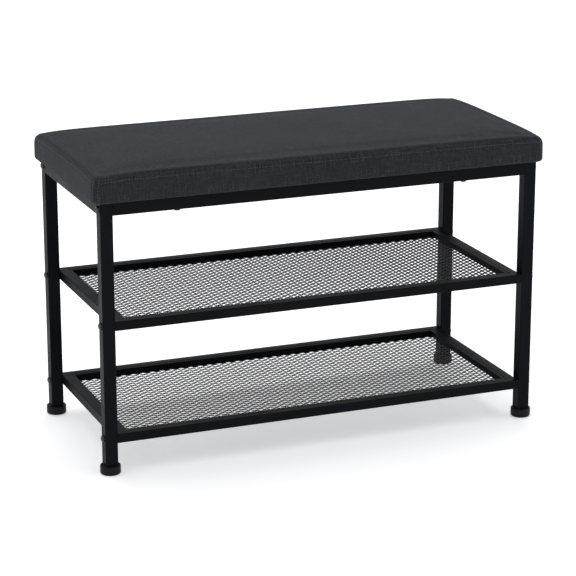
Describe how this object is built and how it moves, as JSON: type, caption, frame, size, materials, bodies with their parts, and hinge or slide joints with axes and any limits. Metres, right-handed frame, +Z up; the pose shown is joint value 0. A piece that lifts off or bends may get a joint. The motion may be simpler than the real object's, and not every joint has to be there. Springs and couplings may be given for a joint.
{
  "type": "entryway bench",
  "caption": "Long upholstered bench on a square-tube steel frame with stacked expanded-metal shoe shelves and screw-in levelling feet.",
  "frame": {"origin": "on the floor under the middle of the bench", "axes": "+X along the bench's length, +Y towards its back, +Z up"},
  "size_m": [0.714, 0.316, 0.4543],
  "materials": {
    "frame_paint": "satin",
    "mesh_paint": "satin",
    "bolt_steel": "satin",
    "zinc_steel": "satin",
    "black_plastic": "matte",
    "foot_plastic": "matte",
    "plywood": "raw",
    "foam": "matte",
    "seat_fabric": "woven",
    "underside_cloth": "matte"
  },
  "bodies": {
    "frame": {"leg_front_left": "frame_paint", "leg_insert_front_left": "black_plastic", "leg_front_right": "frame_paint", "leg_insert_front_right": "black_plastic", "leg_rear_left": "frame_paint", "leg_insert_rear_left": "black_plastic", "leg_rear_right": "frame_paint", "leg_insert_rear_right": "black_plastic", "top_rail_front": "frame_paint", "upper_shelf_front": "frame_paint", "upper_rim_front": "frame_paint", "lower_shelf_front": "frame_paint", "lower_rim_front": "frame_paint", "top_rail_rear": "frame_paint", "upper_shelf_rear": "frame_paint", "upper_rim_rear": "frame_paint", "lower_shelf_rear": "frame_paint", "lower_rim_rear": "frame_paint", "top_rail_left": "frame_paint", "upper_shelf_left": "frame_paint", "upper_rim_left": "frame_paint", "lower_shelf_left": "frame_paint", "lower_rim_left": "frame_paint", "top_rail_right": "frame_paint", "upper_shelf_right": "frame_paint", "upper_rim_right": "frame_paint", "lower_shelf_right": "frame_paint", "lower_rim_right": "frame_paint", "upper_mesh": "mesh_paint", "upper_shelf_bolts": "bolt_steel", "upper_rivet_nuts": "zinc_steel", "lower_mesh": "mesh_paint", "lower_shelf_bolts": "bolt_steel", "lower_rivet_nuts": "zinc_steel", "top_rail_bolts": "bolt_steel", "rail_end_nuts": "zinc_steel", "seat_bolts": "bolt_steel", "seat_tee_nuts": "zinc_steel", "seat_board": "plywood", "seat_foam": "foam", "seat_cover": "seat_fabric", "seat_underside_cloth": "underside_cloth", "seat_staples": "zinc_steel"},
    "foot_front_left": {"foot_glide_front_left": "foot_plastic", "foot_stud_front_left": "zinc_steel"},
    "foot_front_right": {"foot_glide_front_right": "foot_plastic", "foot_stud_front_right": "zinc_steel"},
    "foot_rear_left": {"foot_glide_rear_left": "foot_plastic", "foot_stud_rear_left": "zinc_steel"},
    "foot_rear_right": {"foot_glide_rear_right": "foot_plastic", "foot_stud_rear_right": "zinc_steel"}
  },
  "joints": [
    {"name": "level_front_left", "type": "slide", "parent": "frame", "child": "foot_front_left", "axis": [0, 0, -1], "range_m": [0, 0.01]},
    {"name": "level_front_right", "type": "slide", "parent": "frame", "child": "foot_front_right", "axis": [0, 0, -1], "range_m": [0, 0.01]},
    {"name": "level_rear_left", "type": "slide", "parent": "frame", "child": "foot_rear_left", "axis": [0, 0, -1], "range_m": [0, 0.01]},
    {"name": "level_rear_right", "type": "slide", "parent": "frame", "child": "foot_rear_right", "axis": [0, 0, -1], "range_m": [0, 0.01]}
  ]
}
